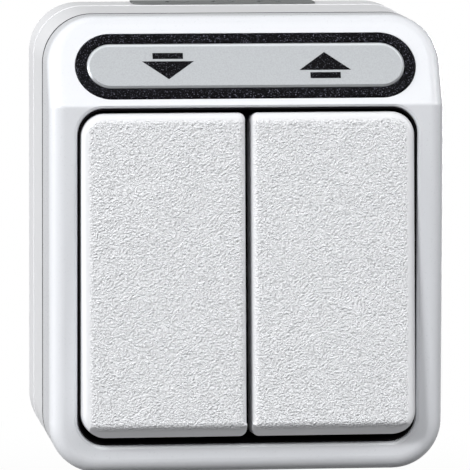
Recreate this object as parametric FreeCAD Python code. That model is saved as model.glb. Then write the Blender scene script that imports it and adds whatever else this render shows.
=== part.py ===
"""Surface-mounted roller shutter switch with two rockers, sized in millimetres.

The pieces are modelled as seen on the wall: x runs across, y runs up and z runs out of the wall,
with the origin in the middle of the wall face. place() then turns them so that +Z is up and the
rockers face -Y.
"""
import FreeCAD, Part
import math
import os
from FreeCAD import Vector

# Body outline, and the widths of cover that stay round the rocker opening.
body_width = 75.0
body_height = 86.0
corner_radius = 9.5
frame_side = 5.4
frame_bottom = 5.6
front_edge_radius = 2.8

# Sloped upper part of the cover: height from crease to top, and crease above the opening.
slope_rise = 16.2
slope_angle = 30.5
crease_radius = 1.5
sill_height = 0.6

# Stack of depths from the wall outwards.
floor_thickness = 2.2
rest_height = 2.8
rest_share = 0.8
housing_wall = 1.6
terminal_seat = 1.4
terminal_height = 7.6
lever_rise = 1.8
lever_headroom = 6.6
plate_thickness = 1.5
lid_thickness = 2.0
rim_rise = 4.55
seam_gap = 1.2
cover_height = 15.95
rocker_rise = 2.5
pivot_setback = 8.1

# Walls and steps of the box and the cover.
base_wall = 2.6
band_step = 0.12
seam_edge = 0.3
cover_inset = 0.15
cover_wall = 2.2
collar_wall = 1.3
collar_drop = 0.4
ledge_thickness = 1.5
ledge_width = 9.0
ledge_window_radius = 3.0
opening_radius = 5.0
opening_edge = 0.7

# Rockers.
rocker_side_gap = 0.6
rocker_middle_gap = 1.15
rocker_end_gap = 1.36
rocker_skirt = 8.0
rocker_skirt_clearance = 0.65
rocker_wall = 1.8
rocker_corner_clearance = 0.6
rocker_inner_radius = 1.3
rocker_edge_radius = 1.3
rocker_least_radius = 0.4
rocker_bevel_height = 2.3
rocker_bevel_depth = 2.0
rocker_tilt = 4.2
rocker_rib_thickness = 1.0
rocker_rib_height = 1.8
rocker_rib_places = (0.45, 0.75)
clip_rail_clearance = 0.2

# Black membrane behind the rockers.
seal_thickness = 0.7
seal_lip_height = 0.8
seal_lip_width = 1.0
seal_window_clearance = 0.9
seal_window_height = 16.0
seal_window_radius = 2.0
seal_fit = 0.05
lining_thickness = 0.25
lining_drop = 0.5
seal_hole_clearance = 0.3

# Toggles, their trunnions and the bearing cheeks on the lid.
toggle_width = 11.6
toggle_bar_length = 18.0
toggle_bar_thickness = 2.4
toggle_hub_radius = 3.2
toggle_stem_radius = 2.6
toggle_stem_chamfer = 0.5
trunnion_radius = 1.45
trunnion_clearance = 0.05
trunnion_length = 1.4
trunnion_chamfer = 0.3
cheek_gap = 0.2
cheek_thickness = 1.6
cheek_radius = 3.4
cheek_foot = 2.0

# Plungers and their springs.
plunger_radius = 1.3
plunger_clearance = 0.06
plunger_tip_rise = 2.2
plunger_show = 2.4
plunger_length = 6.4
spigot_length = 1.5
spigot_clearance = 0.1
spring_setback = 6.6
spring_wire = 0.32
spring_clearance = 0.01
spring_turns = 5

# Switch insert: room round its housing, and its support plate.
housing_margin_x = 20.2
housing_margin_y = 19.6
housing_radius = 3.0
window_overlap = 2.2
plate_gap = 2.9
plate_overhang = 4.0
plate_corner_radius = 4.0
lid_fit = 0.2
stem_slot_width = 6.4
stem_slot_length = 9.4
stem_slot_radius = 2.0

# Contact levers and conductors; a share is a part of the length of the housing.
lever_width = 6.0
lever_thickness = 0.8
lever_half_share = 0.2045
lever_end_margin = 0.2
lever_reserve = 1.0
lever_knuckle_radius = 1.2
lever_guard = 0.8
lever_guard_share = 0.18
lever_guard_height = 1.0
lever_tip_gap = 0.15
cradle_half = 1.0
cradle_clearance = 0.08
contact_radius = 1.6
contact_height = 0.7
contact_gap = 0.15
conductor_thickness = 0.9
conductor_half = 2.0
terminal_width = 6.0
terminal_length_share = 0.1475
terminal_row_share = 0.286
terminal_shift = 2.0
terminal_seat_margin = 0.5
wire_bore_radius = 1.5
wire_hole_margin = 0.4
tuck_in = 0.6

# Interlock slider between the toggles.
slider_end_gap = 2.1
slider_width = 3.0
slider_height = 2.4
slider_offset = 7.0
slider_clearance = 0.06
slider_rail = 1.2
slider_rail_half = 4.5

# Screws and the posts that take them.
cover_screw_inset_x = 5.6
cover_screw_inset_y = 6.9
cover_post_radius = 3.4
plate_post_step = 6.9
plate_post_radius = 3.0
post_clearance = 0.5
screw_radius = 1.4
screw_hole_radius = 1.6
screw_head_radius = 2.7
screw_head_height = 1.8
screw_head_chamfer = 0.6
screw_reach = 8.0
slot_width = 0.7
slot_depth = 0.9
slot_turn = 35.0
pilot_clearance = 0.02
pilot_reserve = 1.0
lid_screw_inset_share = 0.109
lid_boss_radius = 2.4

# Holes for the wall screws.
wall_hole_spacing_x = 32.0
wall_hole_inset_y = 8.5
wall_hole_radius = 2.25
wall_hole_rim_radius = 4.4
wall_hole_rim_height = 1.2

# Cable-entry inserts, in the rear band of the box.
insert_width = 35.8
insert_depth = 9.4
insert_corner_radius = 2.4
insert_clearance = 0.1
insert_proud = 0.25
insert_recess = 0.2
insert_flange = 1.2
insert_flange_thickness = 1.2
insert_nipple_radius = 2.4
insert_nipple_height = 0.5
insert_nipple_taper = 0.8
insert_nipple_spacing = 9.0
insert_nipple_groove = 0.7
band_above_insert = 0.6

# Sealing ring between base and cover.
gasket_inset = 0.15
gasket_width = 1.8
gasket_bead_width = 0.6
gasket_bead_depth = 0.9
gasket_clearance = 0.1

# Label field on the slope.
label_side = 5.2
label_height = 13.7
label_margin = 1.27
ring_width = 2.1
ring_proud = 0.3
ring_edge = 0.35
label_recess = 1.2
label_seat_wall = 1.3
label_clearance = 0.08
label_plate_proud = 0.5
label_plate_edge = 0.35

# Earth terminal in the wiring space.
earth_size = 7.0
earth_length = 8.0
earth_fit = 0.1
earth_socket_wall = 1.0
earth_socket_height = 4.2
earth_bore_rise = 5.0

# Depths that follow from the stack.
housing_back = floor_thickness + rest_height
terminal_back = housing_back + housing_wall + terminal_seat
terminal_front = terminal_back + terminal_height
lever_pivot_depth = terminal_front + lever_rise
housing_front = lever_pivot_depth + lever_headroom
lid_back = housing_front + plate_thickness
lid_front = lid_back + lid_thickness
base_depth = housing_front + rim_rise
cover_back = base_depth + seam_gap
front_depth = cover_back + cover_height
rocker_face_depth = front_depth + rocker_rise
pivot_depth = rocker_face_depth - pivot_setback
rear_band_depth = insert_depth + band_above_insert
plunger_tip_depth = lever_pivot_depth + plunger_tip_rise
plunger_head_depth = plunger_tip_depth + plunger_length
toggle_stem_end = plunger_tip_depth + plunger_show
spring_top_depth = pivot_depth - spring_setback

# Widths and heights that follow from the outline.
opening_width = body_width - 2 * frame_side
crease_height = body_height / 2 - slope_rise
opening_top = crease_height - sill_height
opening_bottom = frame_bottom - body_height / 2
opening_height = opening_top - opening_bottom
opening_centre = (opening_top + opening_bottom) / 2
rocker_width = opening_width / 2 - rocker_side_gap - rocker_middle_gap / 2
rocker_centre_x = rocker_middle_gap / 2 + rocker_width / 2
rocker_length = opening_height - 2 * rocker_end_gap
rocker_outer_radius = opening_radius - rocker_corner_clearance
rocker_ceiling = rocker_face_depth - rocker_wall
rocker_swing = math.sin(math.radians(rocker_tilt)) * rocker_length / 2
seal_front = rocker_face_depth - rocker_skirt - rocker_swing - rocker_skirt_clearance
ledge_depth = seal_front - seal_thickness
pivot_y = opening_centre
housing_width = opening_width - housing_margin_x
housing_length = opening_height - housing_margin_y
lid_screw_inset = lid_screw_inset_share * housing_length
terminal_length = terminal_length_share * housing_length
terminal_row = terminal_row_share * housing_length
lever_half_length = lever_half_share * housing_length
lever_guard_length = lever_guard_share * housing_length
cheek_reach = toggle_width / 2 + cheek_gap + cheek_thickness
toggle_x = housing_width / 2 - cheek_reach
plate_width = body_width - 2 * base_wall - 2 * plate_gap
plate_post_x = (housing_width / 2 + body_width / 2 - base_wall) / 2
seal_window_width = 2 * (cheek_reach + seal_window_clearance)
slider_length = 2 * (toggle_x - toggle_stem_radius - slider_end_gap)
wall_hole_spacing_y = body_height - 2 * wall_hole_inset_y
earth_height = (pivot_y + housing_length / 2 + body_height / 2 - base_wall) / 2
label_width = body_width - 2 * label_side
slope_tangent = math.tan(math.radians(slope_angle))
label_centre_rise = (label_margin + label_height / 2) * math.cos(math.radians(slope_angle))
lever_drop = (lever_half_length + lever_reserve) * math.sin(math.radians(rocker_tilt))
lever_contact_y = lever_half_length - contact_radius - lever_end_margin
plunger_bore = plunger_radius + plunger_clearance
pilot_radius = screw_radius + pilot_clearance
sides = ((-1, "left"), (1, "right"))


def place(shape):
    """Turn a piece from wall view to the upright frame."""
    turned = shape.copy()
    turned.rotate(Vector(0, 0, 0), Vector(1, 0, 0), 90)
    return turned


def save(name, shape):
    """Write one piece to its own file."""
    clean = shape.removeSplitter()
    if clean.isValid():
        shape = clean
    place(shape).exportStep(os.path.join("parts", name + ".step"))
    print(name, len(shape.Solids), round(shape.Volume, 1), shape.isValid())


def outline(width, height, radii, centre=(0.0, 0.0), depth=0.0):
    """Rounded rectangle as a wire; radii run lower left, lower right, upper right, upper left."""
    left, right = centre[0] - width / 2, centre[0] + width / 2
    low, high = centre[1] - height / 2, centre[1] + height / 2
    corners = ((left, low, 180), (right, low, 270), (right, high, 0), (left, high, 90))
    edges = []
    points = []
    for (x, y, start), radius in zip(corners, radii):
        cx = x + radius if x == left else x - radius
        cy = y + radius if y == low else y - radius
        ends = []
        for angle in (start, start + 45, start + 90):
            turn = math.radians(angle)
            ends.append(Vector(cx + radius * math.cos(turn), cy + radius * math.sin(turn), depth))
        points.append(ends)
    for index, ends in enumerate(points):
        edges.append(Part.Arc(*ends).toShape())
        following = points[(index + 1) % 4][0]
        if (following - ends[2]).Length > 1e-6:
            edges.append(Part.LineSegment(ends[2], following).toShape())
    return Part.Wire(edges)


def slab(width, height, radius, low, high, centre=(0.0, 0.0)):
    """Rounded-rectangle prism between two depths; radius is one value or four."""
    radii = radius if isinstance(radius, tuple) else (radius,) * 4
    face = Part.Face(outline(width, height, radii, centre, low))
    return face.extrude(Vector(0, 0, high - low))


def rod(radius, low, high, x, y):
    """Round bar out of the wall."""
    return Part.makeCylinder(radius, high - low, Vector(x, y, low))


def cross_rod(radius, x_low, x_high, y, z):
    """Round bar across."""
    return Part.makeCylinder(radius, x_high - x_low, Vector(x_low, y, z), Vector(1, 0, 0))


def block(x_low, x_high, y_low, y_high, z_low, z_high):
    """Square-edged block between limits."""
    return Part.makeBox(x_high - x_low, y_high - y_low, z_high - z_low, Vector(x_low, y_low, z_low))


def polygon_across(points, x_low, x_high):
    """Prism across from a closed profile of (y, z) points."""
    loop = [Vector(x_low, y, z) for y, z in points]
    return Part.Face(Part.makePolygon(loop + loop[:1])).extrude(Vector(x_high - x_low, 0, 0))


def join(shapes):
    """Fuse a list of shapes."""
    shapes = list(shapes)
    return shapes[0].multiFuse(shapes[1:]) if len(shapes) > 1 else shapes[0]


def fillet_where(shape, radius, test):
    """Round the edges for which test(edge) holds."""
    return shape.makeFillet(radius, [edge for edge in shape.Edges if test(edge)])


def above_slope(offset):
    """Space in front of the sloped face, moved in by offset."""
    reach = body_height
    rise = offset / math.cos(math.radians(slope_angle))
    start = front_depth - rise + slope_tangent * reach
    low = crease_height - reach
    points = [(low, start), (crease_height + reach, start - slope_tangent * 2 * reach),
              (crease_height + reach, start + reach), (low, start + reach)]
    return polygon_across(points, -body_width, body_width)


def on_slope(shape, lift=0.0):
    """Carry a shape drawn flat about the origin to the label field's centre on the slope."""
    moved = shape.copy()
    moved.translate(Vector(0, 0, lift))
    moved.rotate(Vector(0, 0, 0), Vector(1, 0, 0), -slope_angle)
    depth = front_depth - label_centre_rise * slope_tangent
    moved.translate(Vector(0, crease_height + label_centre_rise, depth))
    return moved


def screw(x, y, seat, reach, facing=0.0):
    """Slotted pan-head screw with its head on the seat depth."""
    head = rod(screw_head_radius, seat, seat + screw_head_height, x, y)
    head = head.makeChamfer(screw_head_chamfer, [e for e in head.Edges
                                                 if e.BoundBox.ZMin > seat + 1e-3])
    slot = block(-screw_head_radius, screw_head_radius, -slot_width / 2, slot_width / 2,
                 seat + screw_head_height - slot_depth, seat + screw_head_height + 1)
    slot.rotate(Vector(0, 0, 0), Vector(0, 0, 1), facing)
    slot.translate(Vector(x, y, 0))
    shank = rod(screw_radius, seat - reach, seat, x, y)
    return head.fuse(shank).cut(slot)


def corners(dx, dy, middle):
    """Four points at dx to both sides and dy above and below a middle height."""
    return [(sx * dx, middle + sy * dy) for sx in (-1, 1) for sy in (-1, 1)]


def cover_screw_places():
    """The four corners of the ledge where the cover is screwed down."""
    dx = opening_width / 2 - cover_screw_inset_x
    dy = opening_height / 2 - cover_screw_inset_y
    return corners(dx, dy, opening_centre)


def plate_screw_places():
    """Four points beside the switch insert."""
    dy = opening_height / 2 - cover_screw_inset_y - plate_post_step
    return corners(plate_post_x, dy, pivot_y)


def lid_screw_places():
    """The four corners of the lid."""
    dx = housing_width / 2 - lid_screw_inset
    dy = housing_length / 2 - lid_screw_inset
    return corners(dx, dy, pivot_y)


def terminal_places():
    """Clamp blocks of the insert: left output, common, right output."""
    reach = toggle_x - terminal_shift
    return [(x, pivot_y + terminal_row) for x in (-reach, 0.0, reach)]


def insert_profile(grow, low, high, y_low, y_high):
    """U-shaped prism of a cable entry, open towards the wall, thick along y."""
    half = insert_width / 2 + grow
    top = insert_depth + grow
    radius = insert_corner_radius
    diagonal = radius * (1 - math.sqrt(0.5))
    p = [Vector(-half, y_low, low), Vector(half, y_low, low), Vector(half, y_low, top - radius),
         Vector(half - diagonal, y_low, top - diagonal), Vector(half - radius, y_low, top),
         Vector(radius - half, y_low, top), Vector(diagonal - half, y_low, top - diagonal),
         Vector(-half, y_low, top - radius)]
    edges = [Part.LineSegment(p[0], p[1]), Part.LineSegment(p[1], p[2]), Part.Arc(p[2], p[3], p[4]),
             Part.LineSegment(p[4], p[5]), Part.Arc(p[5], p[6], p[7]), Part.LineSegment(p[7], p[0])]
    face = Part.Face(Part.Wire([e.toShape() for e in edges]))
    return face.extrude(Vector(0, y_high - y_low, 0)).common(
        block(-half - 1, half + 1, y_low, y_high, low, high))


def make_base():
    """Back box with wiring space, posts, wall holes, cable cut-outs and gasket groove."""
    inset_width = body_width - 2 * band_step
    inset_height = body_height - 2 * band_step
    rear = slab(body_width, body_height, corner_radius, 0, rear_band_depth)
    rear = rear.makeChamfer(band_step / 2, [e for e in rear.Edges
                                            if e.BoundBox.ZMin > rear_band_depth - 1e-3])
    front = slab(inset_width, inset_height, corner_radius - band_step,
                 rear_band_depth - tuck_in, base_depth)
    cavity = slab(body_width - 2 * base_wall, body_height - 2 * base_wall, corner_radius - base_wall,
                  floor_thickness, base_depth + 1)
    shell = rear.fuse(front).cut(cavity)
    posts = [rod(cover_post_radius, floor_thickness - tuck_in, base_depth, x, y)
             for x, y in cover_screw_places()]
    posts += [rod(plate_post_radius, floor_thickness - tuck_in, housing_front, x, y)
              for x, y in plate_screw_places()]
    rests = [slab(housing_width * rest_share, base_wall, base_wall / 3, floor_thickness - tuck_in,
                  housing_back, (0, pivot_y + side * housing_length * rest_share / 2))
             for side in (-1, 1)]
    socket = slab(earth_size + 2 * earth_socket_wall, earth_length + 2 * earth_socket_wall,
                  earth_socket_wall, floor_thickness - tuck_in,
                  floor_thickness + earth_socket_height, (0, earth_height))
    holes = corners(wall_hole_spacing_x / 2, wall_hole_spacing_y / 2, 0.0)
    rims = [rod(wall_hole_rim_radius, floor_thickness - tuck_in,
                floor_thickness + wall_hole_rim_height, x, y) for x, y in holes]
    shell = join([shell] + posts + rests + [socket] + rims)
    cuts = [rod(pilot_radius, base_depth - screw_reach - pilot_reserve, base_depth + 1, x, y)
            for x, y in cover_screw_places()]
    cuts += [rod(pilot_radius, housing_front - screw_reach - pilot_reserve, housing_front + 1, x, y)
             for x, y in plate_screw_places()]
    cuts += [rod(wall_hole_radius, -1, floor_thickness + wall_hole_rim_height + 1, x, y)
             for x, y in holes]
    cuts.append(slab(earth_size, earth_length, earth_fit, floor_thickness, base_depth,
                     (0, earth_height)))
    inner = body_height / 2 - base_wall
    outer = body_height / 2 + 1
    for side in (-1, 1):
        low, high = sorted((side * inner, side * outer))
        cuts.append(insert_profile(0.0, -1, insert_depth + 1, low, high))
        low, high = sorted((side * (inner - insert_flange_thickness - insert_clearance), side * inner))
        cuts.append(insert_profile(0.0, -1, floor_thickness, low, high))
    cuts.append(gasket_loop(gasket_bead_width, base_depth - gasket_bead_depth - gasket_clearance,
                            base_depth + 1, gasket_inset + (gasket_width - gasket_bead_width) / 2))
    return shell.cut(join(cuts))


def gasket_loop(width, low, high, inset):
    """Closed band that follows the body outline."""
    outer = slab(body_width - 2 * inset, body_height - 2 * inset, corner_radius - inset, low, high)
    reach = inset + width
    hole = slab(body_width - 2 * reach, body_height - 2 * reach, corner_radius - reach,
                low - 1, high + 1)
    return outer.cut(hole)


def make_gasket():
    """Flat sealing band with a bead that sits in the groove of the base."""
    band = gasket_loop(gasket_width, base_depth, cover_back, gasket_inset)
    bead_inset = gasket_inset + (gasket_width - gasket_bead_width) / 2
    bead = gasket_loop(gasket_bead_width - 2 * gasket_clearance, base_depth - gasket_bead_depth,
                       base_depth + seam_gap / 2, bead_inset + gasket_clearance)
    return band.fuse(bead)


def make_cable_insert(side):
    """Slide-in cable entry: outer plate, neck through the wall, inner flange, blind nipples."""
    proud = insert_proud if side > 0 else -insert_recess
    outer = body_height / 2 + proud
    inner = body_height / 2 - base_wall
    neck_low = inner - insert_flange_thickness
    shrink = -insert_clearance
    body = insert_profile(shrink, 0, insert_depth, neck_low, outer)
    flange = insert_profile(insert_flange, floor_thickness + insert_clearance,
                            insert_depth + insert_flange, neck_low, inner - insert_clearance / 2)
    body = body.fuse(flange)
    centre_z = insert_depth / 2
    nipples = []
    dimples = []
    for index in (-1, 0, 1):
        x = index * insert_nipple_spacing
        base_y = neck_low - insert_nipple_height
        collar = Part.makeCone(insert_nipple_radius * insert_nipple_taper, insert_nipple_radius,
                               insert_nipple_height,
                               Vector(x, base_y, centre_z), Vector(0, 1, 0))
        nipples.append(collar)
        dimples.append(Part.makeCylinder(insert_nipple_radius, insert_flange_thickness,
                                         Vector(x, outer - insert_flange_thickness, centre_z),
                                         Vector(0, 1, 0)))
        dimples[-1] = dimples[-1].cut(Part.makeCylinder(
            insert_nipple_radius - insert_nipple_groove, insert_flange_thickness,
            Vector(x, outer - insert_flange_thickness, centre_z), Vector(0, 1, 0)))
    body = join([body] + nipples).cut(join(dimples))
    if side < 0:
        body = body.mirror(Vector(0, 0, 0), Vector(0, 1, 0))
    return body


def cover_skin(inset, low, edge_radius):
    """Outer form of the cover moved in by inset, from a low depth to its front."""
    side_inset = cover_inset + inset
    body = slab(body_width - 2 * side_inset, body_height - 2 * side_inset,
                corner_radius - side_inset, low, front_depth - inset)
    body = body.cut(above_slope(inset))
    if edge_radius:
        rear = low + 1e-3
        rim = [e for e in body.Edges if e.BoundBox.ZMin > rear and e.Length > 1.0
               and not is_upright(e) and not is_crease(e)]
        body = body.makeFillet(edge_radius, rim)
        body = fillet_where(body, crease_radius, is_crease)
    return body


def is_upright(edge):
    """True for edges that run straight out of the wall."""
    box = edge.BoundBox
    return box.XLength < 1e-4 and box.YLength < 1e-4


def is_crease(edge):
    """True for the edge between the flat front and the slope."""
    box = edge.BoundBox
    flat = box.YLength < 1e-4 and box.ZLength < 1e-4
    return flat and abs(box.YMin - crease_height) < 0.5 and box.ZMin > front_depth - 0.5


def stadium(width, height, low, high):
    """Oblong prism with round ends, drawn flat about the origin."""
    return slab(width, height, height / 2 - 1e-3, low, high)


def make_cover():
    """Cover shell with slope, opening, collar, ledge, screw tubes and label recess."""
    shell = cover_skin(0.0, cover_back, front_edge_radius)
    shell = shell.makeChamfer(seam_edge, [e for e in shell.Edges
                                          if e.BoundBox.ZMax < cover_back + 1e-3])
    shell = shell.cut(cover_skin(cover_wall, cover_back - 1, 0.0))
    centre = (0, opening_centre)
    limit = cover_skin(collar_wall, cover_back, 0.0)
    collar = slab(opening_width + 2 * collar_wall, opening_height + 2 * collar_wall,
                  opening_radius + collar_wall, ledge_depth - ledge_thickness,
                  front_depth - collar_drop, centre)
    seat = on_slope(stadium(label_width + 2 * label_seat_wall, label_height + 2 * label_seat_wall,
                            -label_recess - label_seat_wall, -collar_drop))
    tubes = [rod(cover_post_radius, base_depth, ledge_depth - tuck_in, x, y)
             for x, y in cover_screw_places()]
    shell = join([shell, collar.common(limit), seat.common(limit)] + tubes)
    cuts = [slab(opening_width, opening_height, opening_radius, ledge_depth, front_depth + 1, centre),
            slab(opening_width - 2 * ledge_width, opening_height - 2 * ledge_width,
                 ledge_window_radius, cover_back, ledge_depth + 1, centre),
            on_slope(stadium(label_width, label_height, -label_recess, cover_height))]
    cuts += [rod(screw_hole_radius, base_depth - 1, ledge_depth + 1, x, y)
             for x, y in cover_screw_places()]
    shell = shell.cut(join(cuts))
    bow = 1 - math.sqrt(0.5)
    steps = [(0.0, 1.0), (bow, bow), (1.0, 0.0)]
    for (wide, deep), (next_wide, next_deep) in zip(steps, steps[1:]):
        shell = shell.cut(funnel(wide * opening_edge, front_depth - deep * opening_edge,
                                 next_wide * opening_edge, front_depth - next_deep * opening_edge))
    return shell


def funnel(spread, low, next_spread, high):
    """Space in the opening that widens from one spread at low to another at high."""
    rings = [outline(opening_width + 2 * grow, opening_height + 2 * grow, (opening_radius + grow,) * 4,
                     (0, opening_centre), depth)
             for grow, depth in ((spread, low), (next_spread, high))]
    return Part.makeLoft(rings, True, True)


def make_label_frame():
    """Black oblong ring, softly rounded along both edges, seated in the recess of the slope."""
    fit = 2 * label_clearance
    ring = stadium(label_width - fit, label_height - fit, -label_recess, ring_proud)
    hole = stadium(label_width - fit - 2 * ring_width, label_height - fit - 2 * ring_width,
                   -label_recess - 1, ring_proud + 1)
    ring = ring.cut(hole)
    ring = fillet_where(ring, ring_edge, lambda e: e.BoundBox.ZMin > ring_proud - 1e-3)
    return on_slope(ring)


def make_label_plate():
    """Label plate inside the ring, its edge bevelled all round."""
    fit = 4 * label_clearance + 2 * ring_width
    plate = stadium(label_width - fit, label_height - fit, -label_recess, label_plate_proud)
    rim = [e for e in plate.Edges if e.BoundBox.ZMin > label_plate_proud - 1e-3]
    return on_slope(plate.makeChamfer(label_plate_edge, rim))


def make_seal():
    """Membrane on the ledge, lining the opening, with a lipped window for each toggle."""
    centre = (0, opening_centre)
    low, high = ledge_depth, seal_front
    sheet = slab(opening_width - 2 * seal_fit, opening_height - 2 * seal_fit,
                 opening_radius - seal_fit, low, front_depth - lining_drop, centre)
    inset = seal_fit + lining_thickness
    sheet = sheet.cut(slab(opening_width - 2 * inset, opening_height - 2 * inset,
                           opening_radius - inset, high, front_depth, centre))
    lips = [slab(seal_window_width + 2 * seal_lip_width, seal_window_height + 2 * seal_lip_width,
                 seal_window_radius + seal_lip_width, low, high + seal_lip_height,
                 (side * toggle_x, pivot_y)) for side, _ in sides]
    sheet = join([sheet] + lips)
    cuts = [slab(seal_window_width, seal_window_height, seal_window_radius, low - 1,
                 high + 2 * seal_lip_height, (side * toggle_x, pivot_y)) for side, _ in sides]
    cuts += [rod(screw_head_radius + seal_hole_clearance, low - 1, high + 1, x, y)
             for x, y in cover_screw_places()]
    return sheet.cut(join(cuts))


def tilted(shape, angle=rocker_tilt):
    """Turn a moving piece about the pivot to its rest tilt, lower end out."""
    turned = shape.copy()
    turned.rotate(Vector(0, pivot_y, pivot_depth), Vector(1, 0, 0), -angle)
    return turned


def rocker_profile(side, inset):
    """Width, height, corner radii and centre of a rocker outline moved in by inset."""
    outer = max(rocker_outer_radius - inset, rocker_least_radius)
    inner = max(rocker_inner_radius - inset, rocker_least_radius)
    radii = (outer, inner, inner, outer) if side < 0 else (inner, outer, outer, inner)
    return (rocker_width - 2 * inset, rocker_length - 2 * inset, radii,
            (side * rocker_centre_x, opening_centre))


def bevel_space(low_end, face):
    """Space in front of the lower bevel of a rocker that ends at low_end with its face at face."""
    slant = rocker_bevel_depth / rocker_bevel_height
    low, high = low_end - rocker_bevel_height, low_end + 2 * rocker_bevel_height
    start = face - rocker_bevel_depth
    points = [(low, start - slant * rocker_bevel_height), (high, start + slant * 2 * rocker_bevel_height),
              (low, start + slant * 2 * rocker_bevel_height)]
    return polygon_across(points, -body_width, body_width)


def make_rocker(side):
    """Hollow rocker with soft edges, bevelled lower end, stiffening ribs and clip rails."""
    width, length, radii, centre = rocker_profile(side, 0.0)
    back = rocker_face_depth - rocker_skirt
    body = slab(width, length, radii, back, rocker_face_depth, centre)
    low_end = centre[1] - length / 2
    body = body.cut(bevel_space(low_end, rocker_face_depth))
    top = rocker_face_depth - 1e-3
    rim = [e for e in body.Edges if e.BoundBox.ZMin > top]
    body = body.makeFillet(rocker_edge_radius, rim)
    width, length, radii, centre = rocker_profile(side, rocker_wall)
    hollow = slab(width, length, radii, back - 1, rocker_ceiling, centre)
    hollow = hollow.cut(bevel_space(low_end + rocker_wall, rocker_ceiling))
    body = body.cut(hollow)
    ribs = []
    half_width = width / 2 + tuck_in
    half_rib = rocker_rib_thickness / 2
    for end in (-1, 1):
        for share in rocker_rib_places:
            y = centre[1] + end * share * rocker_length / 2
            ribs.append(block(centre[0] - half_width, centre[0] + half_width, y - half_rib,
                              y + half_rib, rocker_ceiling - rocker_rib_height,
                              rocker_ceiling + tuck_in))
    reach = toggle_bar_length / 2
    rail_x = toggle_width / 2 + clip_rail_clearance + half_rib
    for edge in (-1, 1):
        x = side * toggle_x + edge * rail_x
        ribs.append(block(x - half_rib, x + half_rib, pivot_y - reach, pivot_y + reach,
                          rocker_ceiling - rocker_rib_height / 2, rocker_ceiling + tuck_in))
    return tilted(join([body] + ribs))


def make_toggle(side):
    """Toggle: clip bar under the rocker, hub with two trunnions, stem with a plunger bore."""
    x = side * toggle_x
    x_low, x_high = x - toggle_width / 2, x + toggle_width / 2
    half = toggle_bar_length / 2
    neck = toggle_hub_radius
    bar_low = rocker_ceiling - toggle_bar_thickness
    points = [(pivot_y - half, rocker_ceiling), (pivot_y - half, bar_low),
              (pivot_y - neck, pivot_depth), (pivot_y + neck, pivot_depth),
              (pivot_y + half, bar_low), (pivot_y + half, rocker_ceiling)]
    body = polygon_across(points, x_low, x_high)
    hub = cross_rod(toggle_hub_radius, x_low, x_high, pivot_y, pivot_depth)
    pins = cross_rod(trunnion_radius, x_low - cheek_gap - trunnion_length,
                     x_high + cheek_gap + trunnion_length, pivot_y, pivot_depth)
    pins = pins.makeChamfer(trunnion_chamfer, [e for e in pins.Edges if e.BoundBox.XLength < 1e-3])
    stem = rod(toggle_stem_radius, toggle_stem_end, pivot_depth, x, pivot_y)
    stem = stem.makeChamfer(toggle_stem_chamfer, [e for e in stem.Edges
                                                  if e.BoundBox.ZMax < toggle_stem_end + 1e-3])
    bore = rod(plunger_bore, toggle_stem_end - 1, spring_top_depth, x, pivot_y)
    return tilted(join([body, hub, pins, stem]).cut(bore))


def make_plunger(side):
    """Plunger with a round tip and a spigot for its spring."""
    x = side * toggle_x
    pin = rod(plunger_radius, plunger_tip_depth + plunger_radius, plunger_head_depth, x, pivot_y)
    tip = Part.makeSphere(plunger_radius, Vector(x, pivot_y, plunger_tip_depth + plunger_radius))
    spigot = rod(plunger_radius - 2 * spring_wire - spigot_clearance, plunger_head_depth - tuck_in,
                 plunger_head_depth + spigot_length, x, pivot_y)
    return tilted(join([pin, tip, spigot]))


def make_spring(side):
    """Compression spring of square wire between the plunger and the end of its bore."""
    x = side * toggle_x
    half = spring_wire / 2
    radius = plunger_radius - half - spring_clearance
    low = plunger_head_depth + half + spring_clearance
    high = spring_top_depth - half - spring_clearance
    helix = Part.makeHelix((high - low) / spring_turns, high - low, radius)
    corner_points = [Vector(radius + dx * half, 0, dz * half)
                     for dx, dz in ((-1, -1), (1, -1), (1, 1), (-1, 1), (-1, -1))]
    section = Part.makePolygon(corner_points)
    coil = Part.Wire(helix).makePipeShell([section], True, True)
    coil.translate(Vector(x, pivot_y, low))
    return tilted(coil)


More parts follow.
